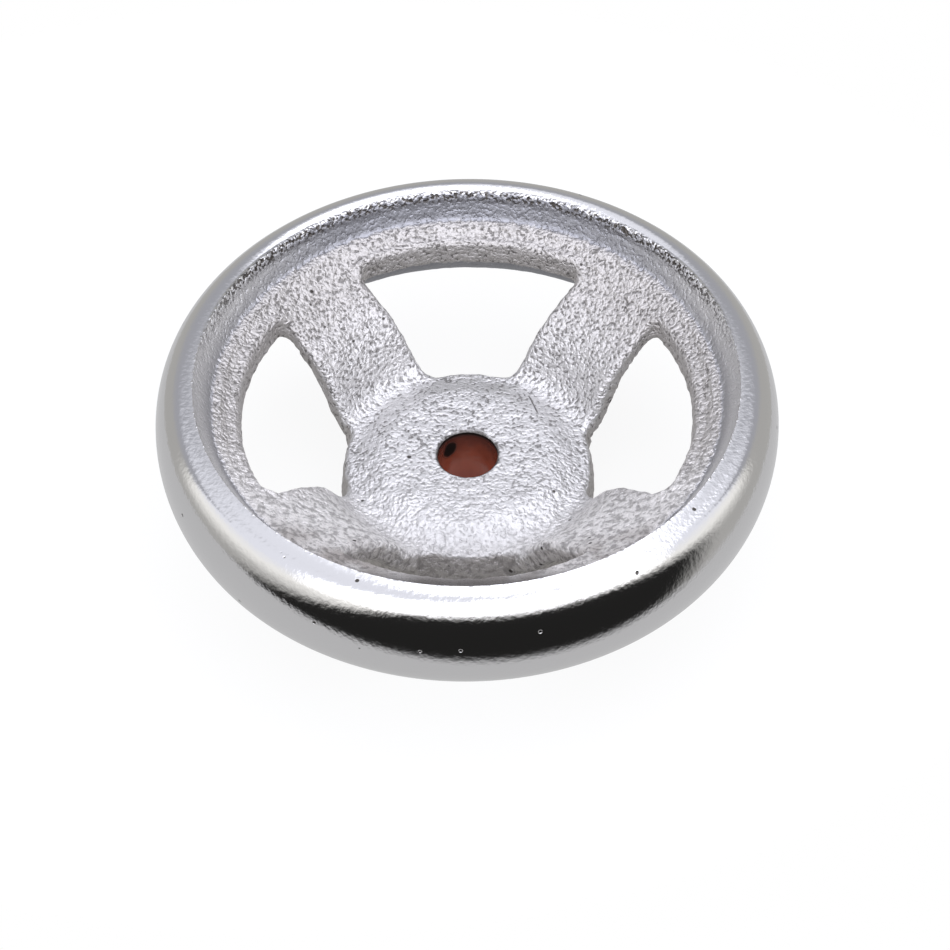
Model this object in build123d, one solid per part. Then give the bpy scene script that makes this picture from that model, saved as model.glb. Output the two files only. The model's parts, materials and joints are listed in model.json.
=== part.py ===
from build123d import *
from math import radians, sin, tan
import os

# Machine handwheel, cast in one piece. An oval rim is carried by a dished web, which four windows
# open into four spokes, and the web ends in a hub with a plain pilot bore.
# +Z is the wheel's axis and points to the operator. The origin is on the axis, in the hub's back
# face, on which the wheel stands. Lengths are in millimetres and angles in degrees.

# Rim: an oval section turned about the axis
WHEEL_DIAMETER = 100.0
RIM_WIDTH = 10.0
RIM_HEIGHT = 18.8

# Hub: a round boss with a flat face at each end
HUB_LENGTH = 17.0
HUB_DIAMETER = 40.6
BACK_EDGE_RADIUS = 1.0
BORE_DIAMETER = 10.0
BORE_CHAMFER = 0.3

# Web: a band of even thickness, which covers the hub's front. Outside the flat face it falls as a
# low cone to its root, climbs steeply to its knee, and more gently from there to its seat in the rim.
# The root stands off from the hub's wall, and the knee from the root, by these radial lengths.
DISH_DEPTH = 10.2
WEB_THICKNESS = 3.6
FACE_DIAMETER = 28.0
FACE_EDGE_RADIUS = 4.0
FACE_CONE_ANGLE = 22.0
ROOT_STANDOFF = 1.5
ROOT_RADIUS = 5.5
KNEE_STANDOFF = 5.7
KNEE_RADIUS = 14.0
WEB_RAKE = 31.0
WEB_SEAT_RISE = 5.4

# Windows: the openings between the spokes, with draft so that the pattern leaves the sand. They
# leave a land of web inside the rim, and a collar of it round the hub.
SPOKE_COUNT = 4
SPOKE_WIDTH = 16.6
RIM_LAND = 3.6
WINDOW_DRAFT = 3.0
HUB_COLLAR = 0.3
HUB_CORNER_RADIUS = 4.0
RIM_CORNER_RADIUS = 2.0

# Blends between the forms, and the rounded edges of the windows
RIM_FRONT_BLEND = 3.5
RIM_BACK_BLEND = 1.5
HUB_BACK_BLEND = 8.0
WINDOW_FRONT_EDGE = 1.2
WINDOW_BACK_EDGE = 0.7

# Lengths closer than this are the same
SAME = 0.001

# Heights above the hub's back face, and radii, that follow from the sizes above
rim_radius = (WHEEL_DIAMETER - RIM_WIDTH) / 2
window_radius = rim_radius - RIM_WIDTH / 2 - RIM_LAND
root_radius = HUB_DIAMETER / 2 + ROOT_STANDOFF
knee_radius = root_radius + KNEE_STANDOFF
rim_middle = HUB_LENGTH + DISH_DEPTH
rim_top = rim_middle + RIM_HEIGHT / 2
face_height = HUB_LENGTH - WEB_THICKNESS / 2
root_height = face_height - (root_radius - FACE_DIAMETER / 2) * tan(radians(FACE_CONE_ANGLE))
seat_height = rim_middle + WEB_SEAT_RISE
knee_height = seat_height - (rim_radius - knee_radius) * tan(radians(WEB_RAKE))
web_corners = [
    (0, face_height),
    (FACE_DIAMETER / 2, face_height),
    (root_radius, root_height),
    (knee_radius, knee_height),
    (rim_radius, seat_height),
]


def make_rim():
    """The rim: an ellipse turned about the axis."""
    section = Pos(rim_radius, rim_middle) * Ellipse(RIM_WIDTH / 2, RIM_HEIGHT / 2)
    return revolve(Plane.XZ * section, Axis.Z)


def make_web():
    """The unbroken web, from the axis to the middle of the rim's section."""
    bends = (FACE_EDGE_RADIUS, ROOT_RADIUS, KNEE_RADIUS)
    middle_line = FilletPolyline(*web_corners, radius=bends)
    return revolve(Plane.XZ * trace(middle_line, WEB_THICKNESS), Axis.Z)


def make_hub():
    """The boss before it is bored, solid up to the web's middle line."""
    wall_top = face_height - (HUB_DIAMETER - FACE_DIAMETER) / 2 * tan(radians(FACE_CONE_ANGLE))
    outline = Polyline(
        (0, 0),
        (HUB_DIAMETER / 2, 0),
        (HUB_DIAMETER / 2, wall_top),
        (FACE_DIAMETER / 2, face_height),
        (0, face_height),
        close=True,
    )
    return revolve(Plane.XZ * make_face(outline), Axis.Z)


def draft_above(height):
    """How far a window's wall stands back at the rim's top from where it is at a height."""
    return (rim_top - height) * tan(radians(WINDOW_DRAFT))


def make_windows():
    """The cutters for all windows, which start level with the rim's top and narrow downwards."""
    outer_radius = window_radius + draft_above(rim_middle)
    inner_radius = HUB_DIAMETER / 2 + HUB_COLLAR - draft_above(root_height)
    ring = Rot(0, 0, 180) * (Circle(outer_radius) - Circle(inner_radius))
    half_angle = radians(180 / SPOKE_COUNT)
    tip = (SPOKE_WIDTH / 2 - draft_above(rim_middle)) / sin(half_angle)
    far_side = WHEEL_DIAMETER * tan(half_angle)
    sector = Polyline(
        (tip, 0), (tip + WHEEL_DIAMETER, far_side), (tip + WHEEL_DIAMETER, -far_side), close=True
    )
    plan = ring & make_face(sector)
    plan = fillet(plan.vertices().group_by(Axis.X)[-1], RIM_CORNER_RADIUS)
    plan = fillet(plan.vertices().group_by(Axis.X)[0], HUB_CORNER_RADIUS)
    window = extrude(Pos(0, 0, rim_top) * plan, -rim_top, taper=WINDOW_DRAFT)
    return [turn * window for turn in PolarLocations(0, SPOKE_COUNT)]


def above_web(edge):
    """The height of an edge's middle over the web's middle line, its bends taken as sharp."""
    middle = edge @ 0.5
    radius = Vector(middle.X, middle.Y).length
    spans = list(zip(web_corners, web_corners[1:]))
    (r0, z0), (r1, z1) = next(span for span in spans if radius <= span[1][0] or span is spans[-1])
    return middle.Z - z0 - (z1 - z0) * (radius - r0) / (r1 - r0)


def circles(body, radius):
    """The full circles of a radius on the body, from the lowest to the highest."""
    found = body.edges().filter_by(GeomType.CIRCLE)
    return found.filter_by(lambda edge: abs(edge.radius - radius) < SAME).sort_by(Axis.Z)


def round_off(body, edges, radius):
    """The body with its own copies of the given edges rounded."""
    middles = [edge @ 0.5 for edge in edges]
    own = body.edges().filter_by(
        lambda edge: any((edge @ 0.5 - middle).length < SAME for middle in middles)
    )
    return fillet(own, radius)


def make_core():
    """The web on its hub, blended at the back and with the hub's back edge rounded."""
    core = make_web() + make_hub()
    back_edge, joint = circles(core, HUB_DIAMETER / 2)
    core = round_off(core, [joint], HUB_BACK_BLEND)
    return round_off(core, [back_edge], BACK_EDGE_RADIUS)


def open_windows(core):
    """The core with its windows cut, and the edges that they leave in front and back rounded."""
    windows = make_windows()
    opened = core - windows
    edges = new_edges(core, *windows, combined=opened)
    opened = round_off(opened, edges.filter_by(lambda edge: above_web(edge) > 0), WINDOW_FRONT_EDGE)
    return round_off(opened, edges.filter_by(lambda edge: above_web(edge) < 0), WINDOW_BACK_EDGE)


def add_rim(core):
    """The core with the rim cast round it and both joints blended."""
    rim = make_rim()
    wheel = core + rim
    back_joint, front_joint = new_edges(core, rim, combined=wheel).sort_by(Axis.Z)
    wheel = round_off(wheel, [front_joint], RIM_FRONT_BLEND)
    return round_off(wheel, [back_joint], RIM_BACK_BLEND)


def drill_bore(wheel):
    """The wheel with its pilot bore drilled and both mouths chamfered."""
    wheel -= Cylinder(BORE_DIAMETER / 2, HUB_LENGTH, align=(Align.CENTER, Align.CENTER, Align.MIN))
    return chamfer(circles(wheel, BORE_DIAMETER / 2), BORE_CHAMFER)


handwheel = drill_bore(add_rim(open_windows(make_core())))
handwheel.label = "handwheel"
os.makedirs("parts", exist_ok=True)
export_step(handwheel, "parts/handwheel.step")
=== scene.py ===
"""Machine handwheel: the casting as it looks, its stage and its camera.

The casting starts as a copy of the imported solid. It gets the uneven skin of a sand casting, and is
drilled again so that the bore's edge stays sharp. Then it gets its plate, its polish and the film
in its bore.
"""

import json
from math import atan2, cos, degrees, hypot, radians, sin, sqrt, tan

import bpy
from mathutils import Matrix, Vector
from mathutils.kdtree import KDTree


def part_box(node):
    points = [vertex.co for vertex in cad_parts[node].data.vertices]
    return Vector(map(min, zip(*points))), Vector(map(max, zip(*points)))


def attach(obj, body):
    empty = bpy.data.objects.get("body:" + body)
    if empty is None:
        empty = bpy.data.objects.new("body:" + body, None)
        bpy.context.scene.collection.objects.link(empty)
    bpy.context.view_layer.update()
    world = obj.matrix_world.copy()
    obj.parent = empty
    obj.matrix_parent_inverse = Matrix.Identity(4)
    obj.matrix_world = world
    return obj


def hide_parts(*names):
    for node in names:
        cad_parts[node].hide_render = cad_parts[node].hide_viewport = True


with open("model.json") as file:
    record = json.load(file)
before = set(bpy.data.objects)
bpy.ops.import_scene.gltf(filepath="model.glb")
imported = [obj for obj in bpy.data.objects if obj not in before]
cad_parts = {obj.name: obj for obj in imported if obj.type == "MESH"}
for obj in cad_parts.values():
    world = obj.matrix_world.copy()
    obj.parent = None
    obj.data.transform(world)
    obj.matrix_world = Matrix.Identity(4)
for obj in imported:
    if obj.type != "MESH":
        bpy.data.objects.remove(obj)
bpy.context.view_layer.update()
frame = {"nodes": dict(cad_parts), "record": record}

bl_info = {
    "name": "Machine handwheel",
    "version": (1, 0, 0),
    "blender": (4, 5, 0),
    "location": "3D View > Sidebar > Handwheel",
    "description": "Makes a dished, chrome-plated cast handwheel on a pale studio floor",
    "category": "Object",
}

MM = 0.001
NODE = "handwheel"
BODY = "root"
ROUND_SIDES = 128
WELD_GAP = 0.001 * MM
SHARP_ANGLE = radians(40)
# how far up a face or a point looks, as its normal's Z
LEVEL = 0.95
UPWARD = 0.15
UPRIGHT = 0.3
DOWNWARD = -0.1


def linear_rgb(code):
    """A colour written as #rrggbb in sRGB, as the linear values that Blender works in."""
    parts = [int(code[at : at + 2], 16) / 255 for at in (1, 3, 5)]
    return [c / 12.92 if c <= 0.04045 else ((c + 0.055) / 1.055) ** 2.4 for c in parts]


def length(name, value_mm, description):
    """A length property, given in millimetres."""
    return bpy.props.FloatProperty(
        name=name,
        description=description,
        default=value_mm * MM,
        precision=5,
        subtype="DISTANCE",
        unit="LENGTH",
    )


def colour(name, code, description):
    """A colour property, given as #rrggbb."""
    return bpy.props.FloatVectorProperty(
        name=name,
        description=description,
        default=linear_rgb(code),
        min=0.0,
        max=1.0,
        subtype="COLOR",
    )


class CastingSettings(bpy.types.PropertyGroup):
    """What a user would change on the casting."""

    cell: length("Mesh cell", 0.8, "Edge length of the mesh where the casting is smooth or hidden")
    lump_spacing: length(
        "Lump spacing", 5.0, "Distance between the swells that the sand mould leaves",
    )
    lump_height: length("Lump height", 0.22, "How far the swells rise from hollow to crest")
    grain_spacing: length("Grain spacing", 1.6, "Distance between the grains of the cast skin")
    grain_height: length("Grain height", 0.36, "How far the grains rise from hollow to crest")
    polish_radius: length(
        "Polish radius", 43.2, "Radius of the circle outside which the rim is polished",
    )
    cast_roughness: bpy.props.FloatProperty(
        name="Cast roughness", description="How matt the plate is on the cast skin", default=0.62,
        min=0.0, max=1.0,
    )
    ground_roughness: bpy.props.FloatProperty(
        name="Ground roughness",
        description="How matt the plate is on the ground wall inside the rim", default=0.5, min=0.0,
        max=1.0,
    )
    plate: colour("Plate", "#D6D5D5", "Colour of the chrome plate")
    # painted light: a paler colour painted on the front skin
    front_painted_light: colour(
        "Thick plate", "#F1EEEC", "Colour of the plate where it is thick, toward the front",
    )
    # painted shade: the ground wall's darker colour, strongest at the back
    ground: colour(
        "Ground plate", "#949499", "Colour of the plate on the ground wall inside the rim",
    )
    # soot and painted shade in the skin's hollows and dark marks
    soot_and_painted_shade: colour("Soot", "#56524F", "Colour of the soot in the cast skin's hollows")
    # polishing paste at the front, and painted shade on steep walls and the hub's side
    paste: colour("Polishing paste", "#968E88", "Colour of the thin film that polishing paste left")
    # painted shade along the mouth, and a painted dark reflection at one spot
    film_painted_shade_and_reflection: colour(
        "Burnt bore film", "#16110F", "Colour of the film where it is burnt or thick",
    )
    # painted reflection deep in the bore's film, painted shade toward its mouth
    film: colour(
        "Bore film", "#B4593C", "Colour of the film that protects the bore, where it pools",
    )
    film_painted_shade: colour("Thin bore film", "#4C2A24", "Colour of the same film near the bore's mouth")


class StageSettings(bpy.types.PropertyGroup):
    """What a user would change on the stage and the camera."""

    floor: colour("Floor", "#C4C4C4", "Colour of the floor")
    wall_tint: colour("Wall tint", "#FFFEFB", "Colour of the light from the walls")
    box_tint: colour(
        "Soft box tint", "#F3F5FF", "Colour of the light from the soft box and the ceiling",
    )
    overhead: bpy.props.FloatProperty(
        name="Soft box", description="Brightness of the soft box overhead", default=3.5, min=0.0
    )
    box_front: bpy.props.FloatProperty(
        name="Soft box front",
        description="Brightness of the soft box where it leans down in front", default=2.3, min=0.0,
    )
    walls: bpy.props.FloatProperty(
        name="Walls", description="Brightness of the side walls and the ceiling", default=1.22,
        min=0.0,
    )
    back_wall: bpy.props.FloatProperty(
        name="Back wall", description="Brightness of the back wall", default=0.54, min=0.0
    )
    room: bpy.props.FloatProperty(
        name="Room", description="Brightness of the dark room in front of the table", default=0.02,
        min=0.0,
    )
    floor_mirrored: bpy.props.FloatProperty(
        name="Floor in the metal", description="Brightness of the floor as the metal mirrors it",
        default=0.61, min=0.0,
    )
    azimuth: bpy.props.FloatProperty(
        name="Azimuth",
        description="How far the camera stands to the right of the front",
        default=radians(1.5),
        subtype="ANGLE",
    )
    elevation: bpy.props.FloatProperty(
        name="Elevation",
        description="Angle of the camera above the horizon",
        default=radians(47.1),
        subtype="ANGLE",
    )
    distance: length("Distance", 355.3, "Distance of the camera from the middle of the rim")
    focal: bpy.props.FloatProperty(
        name="Focal length", description="Focal length of the lens", default=83.37, unit="CAMERA"
    )


# Places on the casting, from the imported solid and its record. Inside BORE_COVER_RADIUS the mesh is
# level over the closed bore until it is drilled; above FINE_SKIN_HEIGHT the front's mesh is finer
box_low, box_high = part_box(NODE)
mounts = {mount["name"]: mount for mount in frame["record"]["mounts"]}
WHEEL_RADIUS = (box_high.x - box_low.x) / 2
RIM_TOP = box_high.z
BORE_RADIUS = mounts["bore"]["dims"]["r_mm"] * MM
HUB_FRONT = mounts["hub_front"]["pos_m"][2]
BORE_CHAMFER = (HUB_FRONT - mounts["bore"]["dims"]["length_mm"] * MM) / 2
BORE_COVER_RADIUS = 6.2 * MM
FINE_SKIN_HEIGHT = 9 * MM

# The rim: an oval with a buffed land on its top. The land leans outward at the front, runs level
# past the sides and fades out behind them; its ends are in degrees from the front.
RIM_HALF_WIDTH = 5.0 * MM
RIM_HALF_HEIGHT = 9.4 * MM
RIM_RADIUS = WHEEL_RADIUS - RIM_HALF_WIDTH
RIM_MIDDLE = RIM_TOP - RIM_HALF_HEIGHT
LAND_RADIUS = 43.3 * MM
LAND_WIDTH = 1.8 * MM
LAND_LEAN = 12
LEAN_ENDS = (50, 95)
LAND_ENDS = (110, 145)
# the part of the oval that is set true, as angles around it from the outside, in degrees
OVAL_FROM, OVAL_TO = -165, 112
OVAL_TOP = 40

# The gutter between web and rim, as radius and height: where it leaves the web, its floor's outer
# corner, and the top of the steep wall
GROUND_RADIUS = 40.85 * MM
GUTTER_START = Vector((39.4, 31.47)) * MM
GUTTER_CORNER = Vector((41.0, 31.9)) * MM
GUTTER_FILLET = 0.7 * MM
WALL_TOP = Vector((43.3, 36.04)) * MM

# The hub's side and the lips around the windows
HUB_SIDE = 20.3 * MM
HUB_TAPER = 0.35 * MM
HUB_TAPER_TOP = 14.4 * MM
HUB_TAPER_REACH = 2.5 * MM
WEB_BOTTOM = 20 * MM
LIP_BOTTOM = 24 * MM
LIP_RADIUS = 36.3 * MM
LIP_REACH = 4 * MM
LIP_CREST = 0.4 * MM
LIP_WIDTH = 1.8 * MM
LIP_HEIGHT = 0.42 * MM

# The share of the cast skin's swells and grains that the ground wall inside the rim keeps
WALL_ROUGHNESS = 0.45

# The skin's fine marks: distances between them, and heights and depths
EDGE_SPACING = 0.9 * MM
EDGE_DRIFT = 1.2 * MM
FINE_GRAIN_SPACING = 0.6 * MM
CLUSTER_SPACING = 2.2 * MM
PIT_SPACING = 2.4 * MM
PIT_DEPTH = 0.25 * MM
BUBBLE_SPACING = 6 * MM
BUBBLE_DEPTH = 0.15 * MM
SWELL_SPACING = 1.1 * MM
SWELL_HEIGHT = 0.4 * MM
WAVE_SPACING = 0.75 * MM
WAVE_HEIGHT = 0.035 * MM
PLATEAU_HEIGHT = 0.06 * MM
PATCH_SPACING = 6 * MM
SCRATCH_MIDDLE = Vector((10.9, 11.9, 0)) * MM
SCRATCH_TURN = radians(16.6)
SCRATCH_DEPTH = 0.15 * MM

# The bore's film: its runs, and the middle of the spot where a dark reflection is painted on it
RUN_SPACING = 2.5 * MM
RUN_HEIGHT = 0.1 * MM
PAINTED_REFLECTION_SPOT = Vector((-3.1, 3.9, HUB_FRONT / MM - 3.4)) * MM

# The floor is an oval sheet; PAPER_WHITE is the share of it that the camera sees as plain white
FLOOR_MIDDLE = Vector((-28, 34, 0)) * MM
FLOOR_STRETCH = 1.3
FLOOR_RADIUS = 116 * MM
FLOOR_FADE = 14 * MM
PAPER_WHITE = 0.85
PAPER_GLOW = 1.05

# How far the soft box and the opening lie to the right, as a direction's X
BOX_ASIDE = 0.12
OPENING_ASIDE = 0.19

CAMERA_ROLL = radians(-0.9)
CAMERA_SHIFT = (0.0085, -0.0668)
CAMERA_SENSOR = 36.0
CAMERA_CLIP = (0.01, 10.0)


def settings():
    """The casting's settings on the current scene."""
    return bpy.context.scene.handwheel_casting


def stage_settings():
    """The stage's settings on the current scene."""
    return bpy.context.scene.handwheel_stage


def activate(piece):
    """Makes the piece the only selected object, and the active one."""
    bpy.ops.object.select_all(action="DESELECT")
    piece.select_set(True)
    bpy.context.view_layer.objects.active = piece


def select_faces(piece, wanted):
    """Enters edit mode with only the wanted(face) faces selected, and returns how many they are."""
    bpy.ops.object.mode_set(mode="EDIT")
    bpy.ops.mesh.select_mode(type="FACE")
    bpy.ops.mesh.select_all(action="DESELECT")
    bpy.ops.object.mode_set(mode="OBJECT")
    for face in piece.data.polygons:
        face.select = wanted(face)
    bpy.ops.object.mode_set(mode="EDIT")
    return sum(face.select for face in piece.data.polygons)


def apply_modifier(piece, kind, **values):
    """Adds a modifier with these values to the active piece and applies it."""
    modifier = piece.modifiers.new(kind.lower(), kind)
    for name, value in values.items():
        setattr(modifier, name, value)
    done = bpy.ops.object.modifier_apply(modifier=modifier.name)
    if "FINISHED" not in done:
        raise RuntimeError(f"{kind} could not be applied to {piece.name}")


def radius_of(point):
    """Distance of a point from the wheel's axis."""
    return Vector((point.x, point.y)).length


def smooth(low, high, value):
    """0 below low, 1 above high, and an even S between."""
    share = min(max((value - low) / (high - low), 0.0), 1.0)
    return share * share * (3 - 2 * share)


def add_node(tree, kind, inputs=None, **choices):
    """Adds a shader node with its settings; its inputs take numbers, sockets or other nodes."""
    node = tree.nodes.new("ShaderNode" + kind)
    for name, value in choices.items():
        setattr(node, name, value)
    for socket, value in (inputs or {}).items():
        if isinstance(value, bpy.types.Node):
            value = value.outputs[0]
        if isinstance(value, bpy.types.NodeSocket):
            tree.links.new(value, node.inputs[socket])
        else:
            node.inputs[socket].default_value = value
    return node


def blank_material(name):
    """A material with an empty node tree, and that tree."""
    material = bpy.data.materials.new(name)
    material.use_nodes = True
    material.node_tree.nodes.clear()
    return material, material.node_tree


def plate_areas(tree, options):
    """Where the casting is cast, ground or polished, each as a share from 0 to 1, by name."""
    place = add_node(tree, "TexCoord")
    where = place.outputs["Object"]
    flat = add_node(tree, "VectorMath", {0: where, 1: (1, 1, 0)}, operation="MULTIPLY")
    radius = add_node(tree, "VectorMath", {0: flat}, operation="LENGTH").outputs["Value"]
    facing = add_node(tree, "SeparateXYZ", {0: place.outputs["Normal"]}).outputs["Z"]
    along = add_node(tree, "SeparateXYZ", {0: where}).outputs["Y"]

    # from the axis outwards: cast skin, the ground wall inside the rim, and the polished rim
    drift = add_node(tree, "TexNoise", {"Vector": where, "Scale": 1 / EDGE_SPACING, "Detail": 2.0})
    drift = add_node(tree, "Math", {0: drift, 1: 0.5}, operation="SUBTRACT")
    edge = add_node(tree, "Math", {0: drift, 1: EDGE_DRIFT, 2: radius}, operation="MULTIPLY_ADD")
    cast = add_node(
        tree, "MapRange",
        {
            "Value": edge, "From Min": GROUND_RADIUS - 0.5 * MM,
            "From Max": GROUND_RADIUS + 0.1 * MM, "To Min": 1.0, "To Max": 0.0,
        },
        interpolation_type="SMOOTHSTEP",
    )
    buffed = add_node(
        tree, "MapRange",
        {
            "Value": edge, "From Min": options.polish_radius - 0.2 * MM,
            "From Max": options.polish_radius + 0.2 * MM,
        },
        interpolation_type="SMOOTHSTEP",
    )
    unbuffed = add_node(tree, "Math", {0: 1.0, 1: buffed}, operation="SUBTRACT")

    # at the back, chatter marks along the top of the ground wall
    off_edge = add_node(
        tree, "Math",
        {0: radius, 1: options.polish_radius - 0.15 * MM},
        operation="SUBTRACT",
    )
    off_edge = add_node(tree, "Math", {0: off_edge}, operation="ABSOLUTE")
    strip = add_node(
        tree, "MapRange",
        {
            "Value": off_edge, "From Min": 0.2 * MM, "From Max": 0.8 * MM, "To Min": 1.0,
            "To Max": 0.0,
        },
        interpolation_type="SMOOTHSTEP",
    )
    back = add_node(
        tree, "MapRange",
        {"Value": along, "From Min": 0.0, "From Max": 25 * MM},
        interpolation_type="SMOOTHSTEP",
    )
    chatter = add_node(tree, "Math", {0: strip, 1: back}, operation="MULTIPLY")

    # toward the front, outside the hub: the front skin, with swells and blots, painted paler as
    # painted light
    front = add_node(
        tree, "MapRange",
        {"Value": along, "From Min": -16 * MM, "From Max": -2 * MM, "To Min": 1.0, "To Max": 0.0},
        interpolation_type="SMOOTHSTEP",
    )
    front = add_node(tree, "Math", {0: front, 1: cast}, operation="MULTIPLY")
    outside_hub = add_node(
        tree, "MapRange",
        {"Value": radius, "From Min": 16 * MM, "From Max": 24 * MM, "To Min": 0.15, "To Max": 1.0},
        interpolation_type="SMOOTHSTEP",
    )
    front_skin_and_painted_light = add_node(tree, "Math", {0: front, 1: outside_hub}, operation="MULTIPLY")
    return {
        "where": where, "radius": radius, "facing": facing, "along": along, "edge": edge,
        "cast": cast, "buffed": buffed, "unbuffed": unbuffed, "chatter": chatter, "front_skin_and_painted_light": front_skin_and_painted_light,
    }


def plate_marks(tree, at):
    """The grains, pits, swells and marks in the plate's skin, by name."""
    # sand grains 0.6 to 0.8 mm apart, in clusters 2 mm wide
    grain = add_node(
        tree, "TexNoise",
        {
            "Vector": at["where"], "Scale": 1 / FINE_GRAIN_SPACING, "Detail": 0.8, "Roughness": 0.5,
            "Distortion": 0.3,
        },
    )
    cluster = add_node(
        tree, "TexNoise",
        {"Vector": at["where"], "Scale": 1 / CLUSTER_SPACING, "Detail": 1.0},
    )

    # open pits in the cast skin, 2 to 3 mm apart and 0.3 to 0.6 mm wide
    cells = add_node(tree, "TexVoronoi", {"Vector": at["where"], "Scale": 1 / PIT_SPACING})
    lot = add_node(tree, "SeparateColor", {0: cells.outputs["Color"]})
    size = add_node(
        tree, "MapRange",
        {"Value": lot.outputs[0], "From Min": 0.7, "From Max": 1.0, "To Max": 0.2},
    )
    pit = add_node(tree, "Math", {0: size, 1: cells.outputs["Distance"]}, operation="SUBTRACT")
    pit = add_node(
        tree, "MapRange",
        {"Value": pit, "From Min": 0.0, "From Max": 0.08},
        interpolation_type="SMOOTHSTEP",
    )
    pit = add_node(tree, "Math", {0: pit, 1: at["cast"]}, operation="MULTIPLY")

    # a few gas pits that buffing opened in the rim, 0.4 to 0.7 mm wide
    bubble = add_node(
        tree, "TexVoronoi",
        {"Vector": at["where"], "Scale": 1 / BUBBLE_SPACING},
    ).outputs["Distance"]
    bubble = add_node(
        tree, "MapRange",
        {"Value": bubble, "From Min": 0.03, "From Max": 0.06, "To Min": 1.0, "To Max": 0.0},
        interpolation_type="SMOOTHSTEP",
    )
    bubble = add_node(tree, "Math", {0: bubble, 1: at["buffed"]}, operation="MULTIPLY")

    # rounder swells, 1 mm apart, that the thick plate makes of the grains
    swell = add_node(
        tree, "TexNoise",
        {"Vector": at["where"], "Scale": 1 / SWELL_SPACING, "Detail": 2.0},
    )

    # a scratch across the hub's face, 6 mm long
    scratch_place = {
        "Vector": at["where"], "Location": SCRATCH_MIDDLE, "Rotation": (0, 0, SCRATCH_TURN),
    }
    scratch = add_node(tree, "Mapping", scratch_place, vector_type="TEXTURE")
    scratch = add_node(tree, "VectorMath", {0: scratch}, operation="ABSOLUTE")
    scratch = add_node(tree, "SeparateXYZ", {0: scratch}).outputs
    across = add_node(
        tree, "MapRange",
        {
            "Value": scratch["X"], "From Min": 0.08 * MM, "From Max": 0.22 * MM, "To Min": 0.8,
            "To Max": 0.0,
        },
        interpolation_type="SMOOTHSTEP",
    )
    lengthwise = add_node(
        tree, "MapRange",
        {
            "Value": scratch["Y"], "From Min": 2 * MM, "From Max": 3.2 * MM, "To Min": 1.0,
            "To Max": 0.0,
        },
        interpolation_type="SMOOTHSTEP",
    )
    upward = add_node(
        tree, "MapRange",
        {"Value": at["facing"], "From Min": 0.2, "From Max": 0.5},
        interpolation_type="SMOOTHSTEP",
    )
    scratch = add_node(tree, "Math", {0: across, 1: lengthwise}, operation="MULTIPLY")
    scratch = add_node(tree, "Math", {0: scratch, 1: upward}, operation="MULTIPLY")
    return {
        "grain": grain, "cluster": cluster, "pit": pit, "bubble": bubble, "swell": swell,
        "scratch": scratch,
    }


def plate_relief(tree, at, marks):
    """The bump of the plate's skin: fine relief that the mesh is too coarse to carry."""
    # the hub's face is nearly level between its hollows; the web and the ledge are wrinkled as well
    deep = add_node(
        tree, "MapRange",
        {
            "Value": at["radius"], "From Min": 14 * MM, "From Max": 24 * MM, "To Min": 0.16 * MM,
            "To Max": 0.32 * MM,
        },
        interpolation_type="SMOOTHSTEP",
    )
    deep = add_node(
        tree, "Math",
        {0: marks["cluster"], 1: 0.28 * MM, 2: deep},
        operation="MULTIPLY_ADD",
    )
    deep = add_node(tree, "Math", {0: deep, 1: 0.14 * MM}, operation="SUBTRACT")
    skin = add_node(tree, "Math", {0: at["cast"], 1: at["chatter"]}, operation="MAXIMUM")
    depth = add_node(tree, "Math", {0: skin, 1: deep}, operation="MULTIPLY")
    depth = add_node(
        tree, "Math",
        {0: at["unbuffed"], 1: 0.14 * MM, 2: depth},
        operation="MULTIPLY_ADD",
    )
    grains = add_node(tree, "Math", {0: marks["grain"], 1: depth}, operation="MULTIPLY")

    # fine waves that buffing leaves
    waves = add_node(
        tree, "TexNoise",
        {"Vector": at["where"], "Scale": 1 / WAVE_SPACING, "Detail": 2.0},
    )
    waves = add_node(tree, "Math", {0: waves, 1: at["buffed"]}, operation="MULTIPLY")
    plateau = add_node(
        tree, "MapRange",
        {"Value": marks["grain"], "From Min": 0.28, "From Max": 0.46},
        interpolation_type="SMOOTHSTEP",
    )
    plateau = add_node(tree, "Math", {0: plateau, 1: at["unbuffed"]}, operation="MULTIPLY")
    swells = add_node(tree, "Math", {0: marks["swell"], 1: at["front_skin_and_painted_light"]}, operation="MULTIPLY")
    height = grains
    for share, rise in (
        (waves, WAVE_HEIGHT),
        (plateau, PLATEAU_HEIGHT),
        (marks["pit"], -PIT_DEPTH),
        (marks["bubble"], -BUBBLE_DEPTH),
        (swells, SWELL_HEIGHT),
        (marks["scratch"], -SCRATCH_DEPTH),
    ):
        height = add_node(tree, "Math", {0: share, 1: rise, 2: height}, operation="MULTIPLY_ADD")
    return add_node(tree, "Bump", {"Height": height, "Strength": 1.0, "Distance": 1.0})


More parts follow.
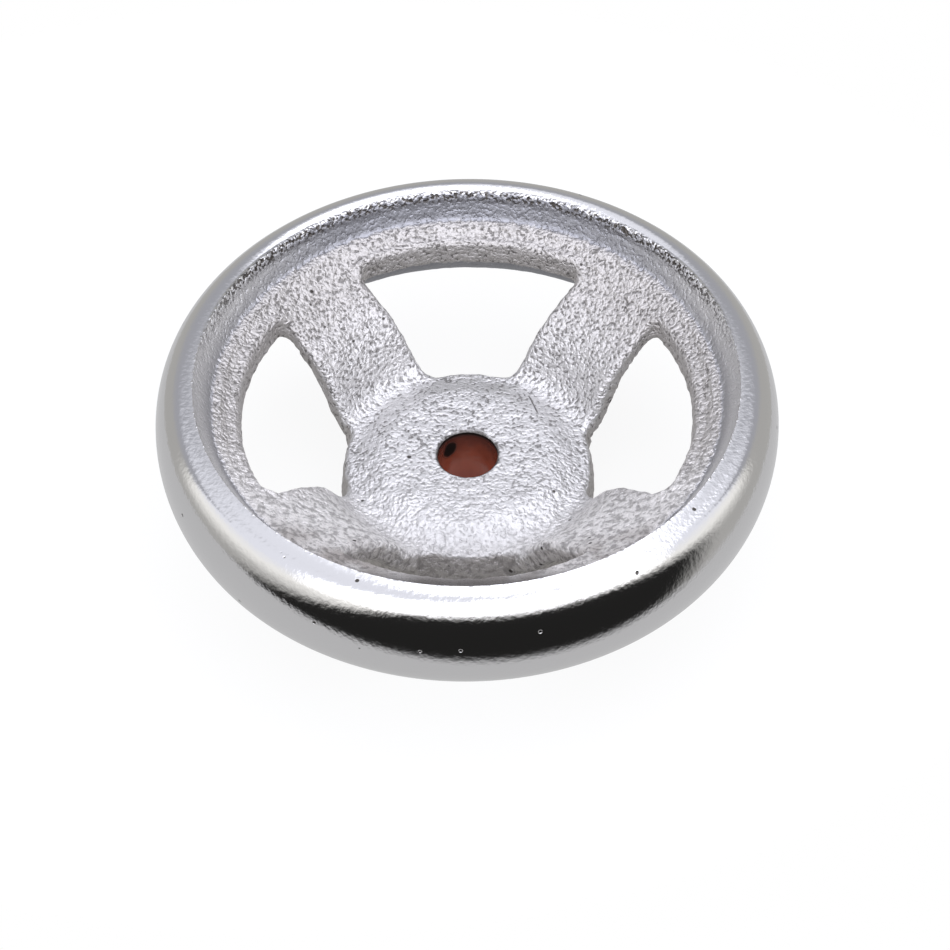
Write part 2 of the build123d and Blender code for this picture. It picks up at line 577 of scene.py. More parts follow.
def plate_dark_marks_and_shade(tree, at, marks):
    """How much grey soot and painted shade darken the plate."""
    # soot and painted shade in each hollow of the grain, painted lighter on the hub's near half
    level = add_node(
        tree, "Math",
        {0: marks["cluster"], 1: 0.3, 2: marks["grain"]},
        operation="MULTIPLY_ADD",
    )
    hollow = add_node(
        tree, "MapRange",
        {"Value": level, "From Min": 0.44, "From Max": 0.6, "To Min": 0.62, "To Max": 0.0},
        interpolation_type="SMOOTHSTEP",
    )
    hollow_dark_and_shade_share = add_node(
        tree, "MapRange",
        {
            "Value": at["along"], "From Min": -20 * MM, "From Max": 6 * MM, "To Min": 0.2,
            "To Max": 1.0,
        },
        interpolation_type="SMOOTHSTEP",
    )
    outside_hub = add_node(
        tree, "MapRange",
        {
            "Value": at["radius"], "From Min": 20 * MM, "From Max": 25 * MM, "To Min": 0.0,
            "To Max": 0.65,
        },
        interpolation_type="SMOOTHSTEP",
    )
    hollow_dark_and_shade_share = add_node(tree, "Math", {0: hollow_dark_and_shade_share, 1: outside_hub}, operation="MAXIMUM")
    hollow = add_node(tree, "Math", {0: hollow, 1: hollow_dark_and_shade_share}, operation="MULTIPLY")

    # soft dark blots between the swells of the front skin
    blot = add_node(
        tree, "MapRange",
        {
            "Value": marks["swell"], "From Min": 0.34, "From Max": 0.56, "To Min": 0.45,
            "To Max": 0.0,
        },
        interpolation_type="SMOOTHSTEP",
    )
    blot = add_node(tree, "Math", {0: blot, 1: at["front_skin_and_painted_light"]}, operation="MULTIPLY")
    hollow = add_node(tree, "Math", {0: hollow, 1: blot}, operation="MAXIMUM")
    soot_and_painted_shade = add_node(tree, "Math", {0: hollow, 1: at["cast"]}, operation="MULTIPLY")

    # nearly black in the chatter marks; painted shade, nearly black, around the bore's mouth
    # and in the gutter at the front
    chatter = add_node(
        tree, "MapRange",
        {"Value": marks["grain"], "From Min": 0.42, "From Max": 0.52, "To Min": 1.0, "To Max": 0.0},
        interpolation_type="SMOOTHSTEP",
    )
    chatter = add_node(tree, "Math", {0: chatter, 1: at["chatter"]}, operation="MULTIPLY")
    mouth_painted_shade = add_node(
        tree, "MapRange",
        {
            "Value": at["edge"], "From Min": BORE_RADIUS, "From Max": BORE_RADIUS + 0.6 * MM,
            "To Min": 0.9, "To Max": 0.0,
        },
        interpolation_type="SMOOTHSTEP",
    )
    gutter_painted_shade = add_node(
        tree, "MapRange",
        {
            "Value": at["along"], "From Min": -39 * MM, "From Max": -34 * MM, "To Min": 0.75,
            "To Max": 0.0,
        },
        interpolation_type="SMOOTHSTEP",
    )
    gutter_painted_shade = add_node(tree, "Math", {0: gutter_painted_shade, 1: at["unbuffed"]}, operation="MULTIPLY")
    for dark in (marks["pit"], mouth_painted_shade, gutter_painted_shade, chatter, marks["scratch"], marks["bubble"]):
        soot_and_painted_shade = add_node(tree, "Math", {0: soot_and_painted_shade, 1: dark}, operation="MAXIMUM", use_clamp=True)
    return soot_and_painted_shade


def plate_polish_residue_and_shade(tree, at):
    """How much polishing paste, and painted shade in its colour, lies on the plate."""
    # brown paste that stayed at the front, in patches 6 mm wide
    patch = add_node(
        tree, "TexNoise",
        {"Vector": at["where"], "Scale": 1 / PATCH_SPACING, "Detail": 2.0},
    )
    patch = add_node(
        tree, "MapRange",
        {"Value": patch, "From Min": 0.35, "From Max": 0.65, "To Min": 0.15, "To Max": 0.65},
        interpolation_type="SMOOTHSTEP",
    )
    front = add_node(
        tree, "MapRange",
        {
            "Value": at["along"], "From Min": -34 * MM, "From Max": -22 * MM, "To Min": 1.0,
            "To Max": 0.0,
        },
        interpolation_type="SMOOTHSTEP",
    )
    front = add_node(tree, "Math", {0: front, 1: patch}, operation="MULTIPLY")

    # a thin film on the outer web behind the hub
    outer = add_node(
        tree, "MapRange",
        {
            "Value": at["radius"], "From Min": 20 * MM, "From Max": 36 * MM, "To Min": 0.1,
            "To Max": 0.44,
        },
        interpolation_type="SMOOTHSTEP",
    )
    behind = add_node(
        tree, "MapRange",
        {"Value": at["along"], "From Min": -24 * MM, "From Max": -4 * MM},
        interpolation_type="SMOOTHSTEP",
    )
    dust = add_node(tree, "Math", {0: outer, 1: behind}, operation="MULTIPLY")
    paste = add_node(tree, "Math", {0: front, 1: dust}, operation="ADD")

    # painted shade in the paste's colour: more on steep walls, and most on the hub's side
    steep = add_node(
        tree, "MapRange",
        {"Value": at["facing"], "From Min": 0.0, "From Max": 0.4, "To Min": 0.5, "To Max": 0.05},
        interpolation_type="SMOOTHSTEP",
    )
    hub = add_node(
        tree, "MapRange",
        {
            "Value": at["radius"], "From Min": HUB_SIDE + 1.4 * MM, "From Max": HUB_SIDE + 2.4 * MM,
            "To Min": 1.0, "To Max": 0.0,
        },
        interpolation_type="SMOOTHSTEP",
    )
    upright = add_node(
        tree, "MapRange",
        {"Value": at["facing"], "From Min": 0.3, "From Max": 0.8, "To Min": 0.55, "To Max": 0.0},
        interpolation_type="SMOOTHSTEP",
    )
    hub = add_node(tree, "Math", {0: hub, 1: upright}, operation="MULTIPLY")
    steep = add_node(tree, "Math", {0: steep, 1: hub}, operation="MAXIMUM")
    paste = add_node(tree, "Math", {0: paste, 1: steep}, operation="MAXIMUM")
    return add_node(tree, "Math", {0: paste, 1: at["cast"]}, operation="MULTIPLY", use_clamp=True)


# Chrome plate on grey iron. The plate is thin and copies the sand-cast skin, so each grain is a
# small mirror: white where it faces the light and dark where it faces away, with soot and polishing
# paste left in the hollows. Its colour carries painted shade as well: in the grain's hollows, on
# steep walls, on the hub's side, around the bore's mouth, in the gutter at the front and on the
# ground wall at the back; the front skin is painted paler as painted light. The rim was ground and
# buffed before it was plated, and is a mirror with fine waves and a few open pits.
def make_plate(options):
    material, tree = blank_material("chrome_plate_on_cast_iron")
    at = plate_areas(tree, options)
    marks = plate_marks(tree, at)
    bump = plate_relief(tree, at, marks)
    soot_and_painted_shade = plate_dark_marks_and_shade(tree, at, marks)
    paste = plate_polish_residue_and_shade(tree, at)

    # painted shade: the ground wall is coloured darker than the plate, but less so at the front
    # and the sides
    ground_wall_painted_light = add_node(
        tree, "MapRange",
        {
            "Value": at["radius"], "From Min": 40.8 * MM, "From Max": 42.5 * MM, "To Min": 0.3,
            "To Max": 0.9,
        },
        interpolation_type="SMOOTHSTEP",
    )
    side = add_node(
        tree, "MapRange",
        {
            "Value": at["along"], "From Min": 15 * MM, "From Max": 38 * MM, "To Min": 1.0,
            "To Max": 0.0,
        },
        interpolation_type="SMOOTHSTEP",
    )
    ground_wall_painted_light = add_node(tree, "Math", {0: ground_wall_painted_light, 1: side}, operation="MULTIPLY")
    plated = add_node(tree, "Math", {0: at["cast"], 1: at["buffed"]}, operation="MAXIMUM")
    plated = add_node(tree, "Math", {0: plated, 1: ground_wall_painted_light}, operation="MAXIMUM")
    # painted light: the front skin is painted paler than the plate
    front_skin_and_painted_light = add_node(tree, "Math", {0: at["front_skin_and_painted_light"], 1: 0.5}, operation="MULTIPLY")
    tint = (*options.ground, 1.0)
    for share, layer in (
        (plated, options.plate),
        (front_skin_and_painted_light, options.front_painted_light),
        (paste, options.paste),
        (soot_and_painted_shade, options.soot_and_painted_shade),
    ):
        tint = add_node(
            tree, "Mix",
            {"Factor": share, "A": tint, "B": (*layer, 1.0)},
            data_type="RGBA",
        ).outputs["Result"]

    # matt on the cast skin and most of all at the front, glossy on the rim
    matt = add_node(
        tree, "MapRange",
        {
            "Value": at["along"], "From Min": -30 * MM, "From Max": -8 * MM, "To Min": 0.28,
            "To Max": 0.0,
        },
        interpolation_type="SMOOTHSTEP",
    )
    matt = add_node(tree, "Math", {0: matt, 1: options.cast_roughness}, operation="ADD")
    sheen = add_node(
        tree, "MapRange",
        {
            "Value": at["radius"], "From Min": options.polish_radius,
            "From Max": options.polish_radius + 1.4 * MM, "To Min": 0.26, "To Max": 0.1,
        },
        interpolation_type="SMOOTHSTEP",
    )
    roughness = add_node(
        tree, "Mix",
        {"Factor": at["cast"], "A": options.ground_roughness, "B": matt},
        data_type="FLOAT",
    )
    roughness = add_node(
        tree, "Mix",
        {"Factor": at["buffed"], "A": roughness, "B": sheen},
        data_type="FLOAT",
    )
    shader = add_node(
        tree, "BsdfPrincipled",
        {"Base Color": tint, "Metallic": 1.0, "Roughness": roughness, "Normal": bump},
    )
    add_node(tree, "OutputMaterial", {"Surface": shader})
    return material


# Drilled grey iron under a glossy red-brown film, brushed in to keep rust away. The film is thick
# enough to hide the drill's marks, and shines like varnish.
def make_film(options):
    material, tree = blank_material("varnish_film_in_bore")
    where = add_node(tree, "TexCoord").outputs["Object"]
    runs = add_node(tree, "TexNoise", {"Vector": where, "Scale": 1 / RUN_SPACING})
    height = add_node(tree, "SeparateXYZ", {0: where}).outputs["Z"]
    wavy = add_node(tree, "Math", {0: runs, 1: 3 * MM, 2: height}, operation="MULTIPLY_ADD")
    painted_shade_near_top = add_node(
        tree, "MapRange",
        {"Value": wavy, "From Min": HUB_FRONT - 9 * MM, "From Max": HUB_FRONT + 1 * MM},
        interpolation_type="SMOOTHSTEP",
    )
    # painted reflection deeper in, painted shade toward the mouth
    tint = add_node(
        tree, "Mix",
        {"Factor": painted_shade_near_top, "A": (*options.film, 1.0), "B": (*options.film_painted_shade, 1.0)},
        data_type="RGBA",
    )

    # painted shade, nearly black, along the mouth, and a painted dark reflection at one spot
    mouth_painted_shade = add_node(
        tree, "MapRange",
        {"Value": height, "From Min": HUB_FRONT - 1.5 * MM, "From Max": HUB_FRONT - 0.5 * MM},
        interpolation_type="SMOOTHSTEP",
    )
    painted_reflection_spot = add_node(tree, "VectorMath", {0: where, 1: PAINTED_REFLECTION_SPOT}, operation="SUBTRACT")
    painted_reflection_spot = add_node(tree, "VectorMath", {0: painted_reflection_spot, 1: (1, 1, 0.8)}, operation="MULTIPLY")
    painted_reflection_spot = add_node(tree, "VectorMath", {0: painted_reflection_spot}, operation="LENGTH").outputs["Value"]
    painted_reflection_spot = add_node(tree, "Math", {0: runs, 1: 0.8 * MM, 2: painted_reflection_spot}, operation="MULTIPLY_ADD")
    painted_reflection_spot = add_node(
        tree, "MapRange",
        {"Value": painted_reflection_spot, "From Min": 1.4 * MM, "From Max": 2.1 * MM, "To Min": 1.0, "To Max": 0.0},
        interpolation_type="SMOOTHSTEP",
    )
    dark = add_node(tree, "Math", {0: mouth_painted_shade, 1: painted_reflection_spot}, operation="MAXIMUM")
    tint = add_node(
        tree, "Mix",
        {"Factor": dark, "A": tint.outputs["Result"], "B": (*options.film_painted_shade_and_reflection, 1.0)},
        data_type="RGBA",
    )
    bump = add_node(tree, "Bump", {"Height": runs, "Strength": 1.0, "Distance": RUN_HEIGHT})
    gloss = add_node(
        tree, "MapRange",
        {"Value": dark, "From Min": 0.0, "From Max": 1.0, "To Min": 0.2, "To Max": 0.6},
        interpolation_type="SMOOTHSTEP",
    )
    shine = add_node(
        tree, "MapRange",
        {"Value": dark, "From Min": 0.0, "From Max": 1.0, "To Min": 0.5, "To Max": 0.1},
        interpolation_type="SMOOTHSTEP",
    )
    shader = add_node(
        tree, "BsdfPrincipled",
        {
            "Base Color": tint.outputs["Result"], "Roughness": gloss, "Specular IOR Level": shine,
            "Normal": bump,
        },
    )
    add_node(tree, "OutputMaterial", {"Surface": shader})
    return material


def is_bore(face):
    """Whether a face of the solid belongs to the bore's wall or to the bevels at its mouths."""
    return radius_of(face.center) < BORE_RADIUS + BORE_CHAMFER and abs(face.normal.z) < LEVEL


def in_front(face):
    """Whether a face is on the rough front: web, spokes, hub's face and the rim's inner side."""
    return (
        radius_of(face.center) < settings().polish_radius + 0.4 * MM
        and face.normal.z > DOWNWARD
        and face.center.z > FINE_SKIN_HEIGHT
    )


def rim_top(radius, turn):
    """Height of the rim's top, turn degrees from the front.

    It is buffed flat at the front and the sides, leans outward at the front, and is an oval behind.
    """
    across = (radius - RIM_RADIUS) / RIM_HALF_WIDTH
    oval = RIM_MIDDLE + RIM_HALF_HEIGHT * sqrt(1 - across * across)
    lean = radians(LAND_LEAN * (1 - smooth(*LEAN_ENDS, turn)))
    land = RIM_TOP - (radius - LAND_RADIUS) * tan(lean)
    flat = 1 - smooth(*LAND_ENDS, turn)
    inner = 1 - smooth(RIM_RADIUS, RIM_RADIUS + LAND_WIDTH, radius)
    return oval + (land - oval) * flat * inner


def gutter(height, reach, top):
    """Moves a point of the long fillet inside the rim to the gutter and the steep wall."""
    whole = (WALL_TOP.x - GUTTER_START.x) + (WALL_TOP.y - GUTTER_START.y)
    first = (GUTTER_CORNER.x - GUTTER_START.x) + (GUTTER_CORNER.y - GUTTER_START.y)
    along = (reach - GUTTER_START.x) + (height - GUTTER_START.y)
    end = Vector((LAND_RADIUS, top))

    def place(way):
        if way < first:
            return GUTTER_START.lerp(GUTTER_CORNER, way / first)
        return GUTTER_CORNER.lerp(end, min((way - first) / (whole - first), 1.0))

    if abs(along - first) > GUTTER_FILLET:
        return place(along)
    share = (along - first + GUTTER_FILLET) / (2 * GUTTER_FILLET)
    before, after = place(first - GUTTER_FILLET), place(first + GUTTER_FILLET)
    return before.lerp(GUTTER_CORNER, share).lerp(GUTTER_CORNER.lerp(after, share), share)


def raise_lips(piece):
    """Raises the cast edge around the outside of the windows to a low rolled lip."""
    near = [
        (vertex, vertex.normal.z) for vertex in piece.data.vertices
        if vertex.co.z > WEB_BOTTOM and abs(radius_of(vertex.co) - LIP_RADIUS) < LIP_REACH
    ]
    walls = [
        vertex.co for vertex, up in near
        if abs(up) < UPRIGHT and -0.5 * MM < radius_of(vertex.co) - LIP_RADIUS < 1.5 * MM
    ]
    tree = KDTree(len(walls))
    for index, co in enumerate(walls):
        tree.insert(Vector((co.x, co.y, 0)), index)
    tree.balance()
    for vertex, up in near:
        if up > UPWARD and vertex.co.z > LIP_BOTTOM:
            gap = tree.find(Vector((vertex.co.x, vertex.co.y, 0)))[2]
            vertex.co.z += LIP_HEIGHT * (1 - smooth(LIP_CREST, LIP_WIDTH, gap))


def flare_hub(piece):
    """Gives the hub's side below the spokes the taper that lets the pattern out of the sand."""
    for vertex in piece.data.vertices:
        reach = radius_of(vertex.co)
        if HUB_SIDE - 2 * MM < reach < HUB_SIDE + 1.5 * MM and vertex.co.z < HUB_TAPER_TOP:
            wider = 1 + HUB_TAPER * smooth(0, HUB_TAPER_REACH, HUB_TAPER_TOP - vertex.co.z) / reach
            vertex.co.x *= wider
            vertex.co.y *= wider


def shape_rim(piece):
    """Gives the rim its true oval, the buffed land on its top, and the steep wall inside it."""
    for vertex in piece.data.vertices:
        point = vertex.co
        reach = radius_of(point)
        if reach < GUTTER_START.x:
            continue
        across = (reach - RIM_RADIUS) / RIM_HALF_WIDTH
        up = (point.z - RIM_MIDDLE) / RIM_HALF_HEIGHT
        angle = degrees(atan2(up, across))
        size = hypot(across, up)
        turn = abs(degrees(atan2(point.x, -point.y)))
        new_reach, new_z = reach, point.z
        if OVAL_FROM < angle < OVAL_TO:
            new_reach = RIM_RADIUS + RIM_HALF_WIDTH * across / size
            new_z = RIM_MIDDLE + RIM_HALF_HEIGHT * up / size
        if angle > OVAL_TOP and point.z > RIM_MIDDLE:
            if abs(new_reach - LAND_RADIUS) < 0.2 * MM:
                new_reach = LAND_RADIUS
            if LAND_RADIUS <= new_reach < RIM_RADIUS + LAND_WIDTH + 0.1 * MM:
                new_z = rim_top(new_reach, turn)
        if GUTTER_START.x < reach < LAND_RADIUS and point.z > GUTTER_START.y - 1 * MM:
            new_reach, new_z = gutter(point.z, reach, rim_top(LAND_RADIUS, turn))
        point.x *= new_reach / reach
        point.y *= new_reach / reach
        point.z = new_z


def weigh(piece, name, weight):
    """Adds a vertex group with weight(point) at each vertex."""
    group = piece.vertex_groups.new(name=name)
    for vertex in piece.data.vertices:
        group.add([vertex.index], weight(vertex.co), "REPLACE")
    return group.name


def cloud(name, spacing):
    """A cloud texture for moving a surface."""
    texture = bpy.data.textures.new(name, "CLOUDS")
    texture.noise_scale = spacing
    texture.noise_depth = 1
    return texture


def skin_weight(point):
    """How rough the cast skin is at a point: none on the polished rim and on the faced back."""
    reach = radius_of(point)
    on_wall = smooth(GROUND_RADIUS - 0.3 * MM, GROUND_RADIUS + 0.3 * MM, reach)
    on_rim = smooth(LAND_RADIUS - 0.6 * MM, LAND_RADIUS, reach)
    rough = 1 - (1 - WALL_ROUGHNESS) * on_wall - WALL_ROUGHNESS * on_rim
    return rough * smooth(0.2 * MM, 1.5 * MM, point.z)


def make_drill(film, plate):
    """A cutter of the bore's size that flares at both mouths for the bevels."""
    flare = BORE_RADIUS + 2 * BORE_CHAMFER
    bpy.ops.mesh.primitive_circle_add(
        vertices=ROUND_SIDES, radius=flare, fill_type="NGON", location=(0, 0, -BORE_CHAMFER)
    )
    drill = bpy.context.object
    steps = [
        (2 * BORE_CHAMFER, BORE_RADIUS / flare),
        (HUB_FRONT - 2 * BORE_CHAMFER, 1.0),
        (2 * BORE_CHAMFER, flare / BORE_RADIUS),
    ]
    bpy.ops.object.mode_set(mode="EDIT")
    bpy.ops.mesh.select_all(action="SELECT")
    for rise, widening in steps:
        bpy.ops.mesh.extrude_region_move(TRANSFORM_OT_translate={"value": (0, 0, rise)})
        bpy.ops.transform.resize(value=(widening, widening, 1))
    bpy.ops.mesh.select_all(action="SELECT")
    bpy.ops.mesh.normals_make_consistent(inside=False)
    bpy.ops.object.mode_set(mode="OBJECT")
    bpy.ops.object.transform_apply(location=True, rotation=False, scale=False)
    drill.data.materials.append(film)
    drill.data.materials.append(plate)
    for face in drill.data.polygons:
        face.material_index = int(abs(face.normal.z) > 0.1)
    return drill


def copy_solid(scene):
    """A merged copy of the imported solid, with its bore closed so that it can be drilled again."""
    mesh = frame["nodes"][NODE].data.copy()
    mesh.materials.clear()
    piece = bpy.data.objects.new("handwheel_casting", mesh)
    scene.collection.objects.link(piece)
    activate(piece)
    bpy.ops.object.mode_set(mode="EDIT")
    bpy.ops.mesh.select_all(action="SELECT")
    bpy.ops.mesh.remove_doubles(threshold=WELD_GAP)
    bpy.ops.object.mode_set(mode="OBJECT")
    if not select_faces(piece, is_bore):
        raise RuntimeError("the bore was not found")
    bpy.ops.mesh.delete(type="FACE")
    bpy.ops.mesh.select_all(action="SELECT")
    bpy.ops.mesh.fill_holes(sides=0)
    bpy.ops.object.mode_set(mode="OBJECT")
    return piece


def refine(piece, options):
    """Gives the piece even cells, half as large on its rough front, that lie on the solid."""
    apply_modifier(piece, "REMESH", mode="VOXEL", voxel_size=options.cell)
    select_faces(piece, in_front)
    bpy.ops.mesh.subdivide(number_cuts=1)
    bpy.ops.object.mode_set(mode="OBJECT")
    outside = weigh(
        piece, "outside_bore", lambda point: float(radius_of(point) > BORE_COVER_RADIUS)
    )
    apply_modifier(
        piece, "SHRINKWRAP", target=frame["nodes"][NODE], wrap_method="NEAREST_SURFACEPOINT",
        vertex_group=outside,
    )


def roughen(piece, options):
    """Gives the piece the swells and grains of a skin cast in sand."""
    rough = weigh(piece, "cast_skin", skin_weight)
    for name, spacing, height in (
        ("mould_lumps", options.lump_spacing, options.lump_height),
        ("sand_grains", options.grain_spacing, options.grain_height),
    ):
        apply_modifier(
            piece, "DISPLACE", texture=cloud(name, spacing), texture_coords="LOCAL",
            strength=height, mid_level=0.5, vertex_group=rough,
        )
    piece.vertex_groups.clear()


class HANDWHEEL_OT_casting(bpy.types.Operator):
    """Makes the casting: rough where the sand left it, smooth where it was polished, and drilled"""

    bl_idname = "handwheel.make_casting"
    bl_label = "Make casting"

    def execute(self, context):
        options = settings()
        plate, film = make_plate(options), make_film(options)
        piece = copy_solid(context.scene)
        refine(piece, options)
        flare_hub(piece)
        raise_lips(piece)
        shape_rim(piece)
        roughen(piece, options)
        piece.data.materials.append(plate)
        piece.data.materials.append(film)
        drill = make_drill(film, plate)
        activate(piece)
        apply_modifier(
            piece, "BOOLEAN", operation="DIFFERENCE", solver="EXACT", object=drill,
            material_mode="TRANSFER",
        )
        bpy.data.objects.remove(drill)
        bpy.ops.object.shade_smooth_by_angle(angle=SHARP_ANGLE)
        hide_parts(NODE)
        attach(piece, BODY)
        return {"FINISHED"}


def make_floor_finish(options):
    """White paper that thins out at its edge. The camera sees it white, with a faint shadow."""
    material, tree = blank_material("white_paper")
    where = add_node(tree, "TexCoord").outputs["Object"]
    middle = add_node(tree, "VectorMath", {0: where, 1: FLOOR_MIDDLE}, operation="SUBTRACT")
    middle = add_node(
        tree, "VectorMath",
        {0: middle, 1: (1 / FLOOR_STRETCH, 1, 1)},
        operation="MULTIPLY",
    )
    radius = add_node(tree, "VectorMath", {0: middle}, operation="LENGTH").outputs["Value"]
    reach = add_node(
        tree, "MapRange",
        {
            "Value": radius, "From Min": FLOOR_RADIUS - FLOOR_FADE,
            "From Max": FLOOR_RADIUS - 1 * MM, "To Min": 1.0, "To Max": 0.0,
        },
        interpolation_type="SMOOTHSTEP",
    )
    paper = add_node(tree, "BsdfDiffuse", {"Color": (*options.floor, 1.0)})
    edge = add_node(tree, "BsdfTransparent")
    ray = add_node(tree, "LightPath").outputs
    mirrored = add_node(
        tree, "Math",
        {0: ray["Is Glossy Ray"], 1: ray["Is Transmission Ray"]},
        operation="MAXIMUM",
    )
    seen = add_node(tree, "Math", {0: ray["Is Camera Ray"], 1: mirrored}, operation="MAXIMUM")
    share = add_node(tree, "Math", {0: seen, 1: PAPER_WHITE}, operation="MULTIPLY")
    level = add_node(
        tree, "Mix",
        {"Factor": mirrored, "A": PAPER_GLOW, "B": options.floor_mirrored},
        data_type="FLOAT",
    )
    white = add_node(tree, "Emission", {"Strength": level})
    seen = add_node(tree, "MixShader", {0: share, 1: paper, 2: white})
    both = add_node(tree, "MixShader", {0: reach, 1: edge, 2: seen})
    add_node(tree, "OutputMaterial", {"Surface": both})
    return material


def light_the_world(scene, options):
    """A soft box overhead and in front, pale walls, and the dark room past the front of the table.

    The directions are those in which the metal looks: X to the right, Y to the back, Z up.
    """
    world = bpy.data.worlds.new("studio")
    world.use_nodes = True
    scene.world = world
    tree = world.node_tree
    tree.nodes.clear()
    toward = add_node(tree, "TexCoord").outputs["Generated"]
    axes = add_node(tree, "SeparateXYZ", {0: toward}).outputs

    # side walls and ceiling, and the dimmer back wall between them
    side = add_node(
        tree, "MapRange",
        {
            "Value": axes["Z"], "From Min": -0.25, "From Max": 0.3, "To Min": options.back_wall,
            "To Max": options.walls,
        },
        interpolation_type="SMOOTHSTEP",
    )
    behind = add_node(
        tree, "MapRange",
        {"Value": axes["Y"], "From Min": 0.15, "From Max": 0.36},
        interpolation_type="SMOOTHSTEP",
    )
    below_ceiling = add_node(
        tree, "MapRange",
        {"Value": axes["Z"], "From Min": 0.69, "From Max": 0.84, "To Min": 1.0, "To Max": 0.0},
        interpolation_type="SMOOTHSTEP",
    )
    behind = add_node(tree, "Math", {0: behind, 1: below_ceiling}, operation="MULTIPLY")
    walls = add_node(
        tree, "Mix",
        {"Factor": behind, "A": side, "B": options.back_wall},
        data_type="FLOAT",
    )

    # the soft box: overhead, and leaning down in front
    aside = add_node(tree, "Math", {0: axes["X"], 1: BOX_ASIDE}, operation="SUBTRACT")
    aside = add_node(tree, "Math", {0: aside}, operation="ABSOLUTE")
    reach = add_node(tree, "Math", {0: axes["Y"], 1: 0.8, 2: aside}, operation="MULTIPLY_ADD")
    within = add_node(
        tree, "MapRange",
        {"Value": reach, "From Min": 0.34, "From Max": 0.54, "To Min": 1.0, "To Max": 0.0},
        interpolation_type="SMOOTHSTEP",
    )
    high = add_node(
        tree, "MapRange",
        {"Value": axes["Z"], "From Min": 0.2, "From Max": 0.5},
        interpolation_type="SMOOTHSTEP",
    )
    box = add_node(tree, "Math", {0: within, 1: high}, operation="MULTIPLY")
    lamp = add_node(
        tree, "MapRange",
        {
            "Value": axes["Z"], "From Min": 0.5, "From Max": 0.9, "To Min": options.box_front,
            "To Max": options.overhead,
        },
        interpolation_type="SMOOTHSTEP",
    )
    lamps = add_node(tree, "Mix", {"Factor": box, "A": walls, "B": lamp}, data_type="FLOAT")

    # the opening: the dark room below the front edge of the soft box
    aside = add_node(tree, "Math", {0: axes["X"], 1: OPENING_ASIDE}, operation="SUBTRACT")
    aside = add_node(tree, "Math", {0: aside}, operation="ABSOLUTE")
    jamb = add_node(tree, "Math", {0: axes["Z"], 1: 0.8, 2: aside}, operation="MULTIPLY_ADD")
    between = add_node(
        tree, "MapRange",
        {"Value": jamb, "From Min": 0.68, "From Max": 0.98, "To Min": 1.0, "To Max": 0.0},
        interpolation_type="SMOOTHSTEP",
    )
    low = add_node(
        tree, "MapRange",
        {"Value": axes["Z"], "From Min": 0.2, "From Max": 0.58, "To Min": 1.0, "To Max": 0.0},
        interpolation_type="SMOOTHSTEP",
    )
    ahead = add_node(
        tree, "MapRange",
        {"Value": axes["Y"], "From Min": -0.35, "From Max": -0.02, "To Min": 1.0, "To Max": 0.0},
        interpolation_type="SMOOTHSTEP",
    )
    opening = add_node(tree, "Math", {0: low, 1: between}, operation="MULTIPLY")
    opening = add_node(tree, "Math", {0: opening, 1: ahead}, operation="MULTIPLY")
    level = add_node(
        tree, "Mix",
        {"Factor": opening, "A": lamps, "B": options.room},
        data_type="FLOAT",
    )

    # warm from the walls, cool from the lamps; the camera itself sees white
    up = add_node(
        tree, "MapRange",
        {"Value": axes["Z"], "From Min": 0.2, "From Max": 0.7},
        interpolation_type="SMOOTHSTEP",
    )
    tint = add_node(
        tree, "Mix",
        {"Factor": up, "A": (*options.wall_tint, 1.0), "B": (*options.box_tint, 1.0)},
        data_type="RGBA",
    )
    lit = add_node(tree, "Background", {"Color": tint.outputs["Result"], "Strength": level})
    white = add_node(tree, "Background", {"Color": (1, 1, 1, 1), "Strength": 1.0})
    seen = add_node(tree, "LightPath").outputs["Is Camera Ray"]
    both = add_node(tree, "MixShader", {0: seen, 1: lit, 2: white})
    add_node(tree, "OutputWorld", {"Surface": both})


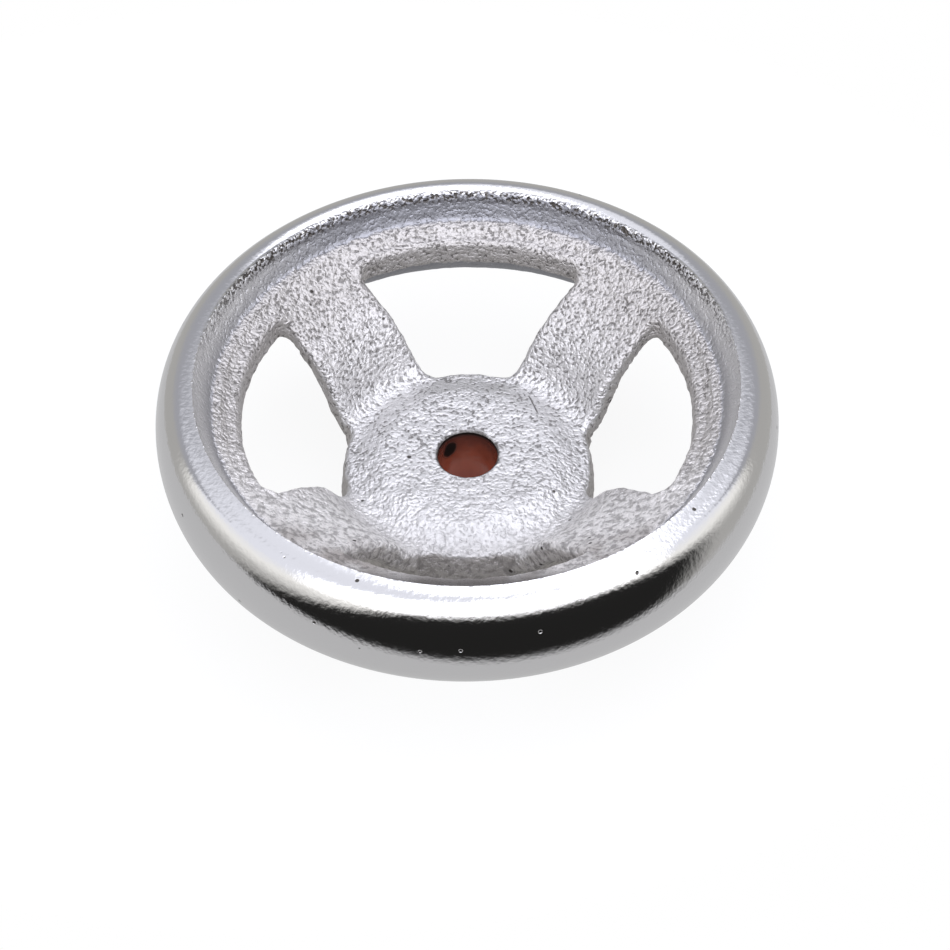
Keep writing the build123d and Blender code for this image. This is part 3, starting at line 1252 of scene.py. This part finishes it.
def place_camera(scene, options):
    """The camera, aimed at the middle of the rim and turned a little about its own axis."""
    target = Vector((0, 0, RIM_MIDDLE))
    back = Vector((
        sin(options.azimuth) * cos(options.elevation),
        -cos(options.azimuth) * cos(options.elevation),
        sin(options.elevation),
    ))
    camera = bpy.data.objects.new("camera", bpy.data.cameras.new("camera"))
    scene.collection.objects.link(camera)
    aim = (-back).to_track_quat("-Z", "Y").to_matrix().to_4x4()
    roll = Matrix.Rotation(CAMERA_ROLL, 4, "Z")
    camera.matrix_world = Matrix.Translation(target + back * options.distance) @ aim @ roll
    camera.data.lens = options.focal
    camera.data.sensor_width = CAMERA_SENSOR
    camera.data.shift_x, camera.data.shift_y = CAMERA_SHIFT
    camera.data.clip_start, camera.data.clip_end = CAMERA_CLIP
    scene.camera = camera


class HANDWHEEL_OT_stage(bpy.types.Operator):
    """Makes the pale floor, the soft light and the camera"""

    bl_idname = "handwheel.make_stage"
    bl_label = "Make stage"

    def execute(self, context):
        options = stage_settings()
        bpy.ops.mesh.primitive_circle_add(
            vertices=ROUND_SIDES, radius=FLOOR_RADIUS * FLOOR_STRETCH, fill_type="NGON",
            location=FLOOR_MIDDLE,
        )
        bpy.ops.object.transform_apply(location=True, rotation=False, scale=False)
        floor = context.object
        floor.name = "floor"
        floor.data.materials.append(make_floor_finish(options))
        light_the_world(context.scene, options)
        place_camera(context.scene, options)
        context.scene.view_settings.view_transform = "Standard"
        return {"FINISHED"}


class VIEW3D_PT_handwheel(bpy.types.Panel):
    """The handwheel's sizes, colours and makers"""

    bl_label = "Handwheel"
    bl_space_type = "VIEW_3D"
    bl_region_type = "UI"
    bl_category = "Handwheel"

    def draw(self, context):
        for options, maker in (
            (context.scene.handwheel_casting, HANDWHEEL_OT_casting),
            (context.scene.handwheel_stage, HANDWHEEL_OT_stage),
        ):
            box = self.layout.box()
            for name in options.__annotations__:
                box.prop(options, name)
            box.operator(maker.bl_idname)


CLASSES = (
    CastingSettings,
    StageSettings,
    HANDWHEEL_OT_casting,
    HANDWHEEL_OT_stage,
    VIEW3D_PT_handwheel,
)


def register():
    for item in CLASSES:
        bpy.utils.register_class(item)
    bpy.types.Scene.handwheel_casting = bpy.props.PointerProperty(type=CastingSettings)
    bpy.types.Scene.handwheel_stage = bpy.props.PointerProperty(type=StageSettings)


def unregister():
    del bpy.types.Scene.handwheel_stage
    del bpy.types.Scene.handwheel_casting
    for item in reversed(CLASSES):
        bpy.utils.unregister_class(item)


def main():
    register()
    bpy.ops.handwheel.make_stage()
    bpy.ops.handwheel.make_casting()


if __name__ == "__main__":
    main()
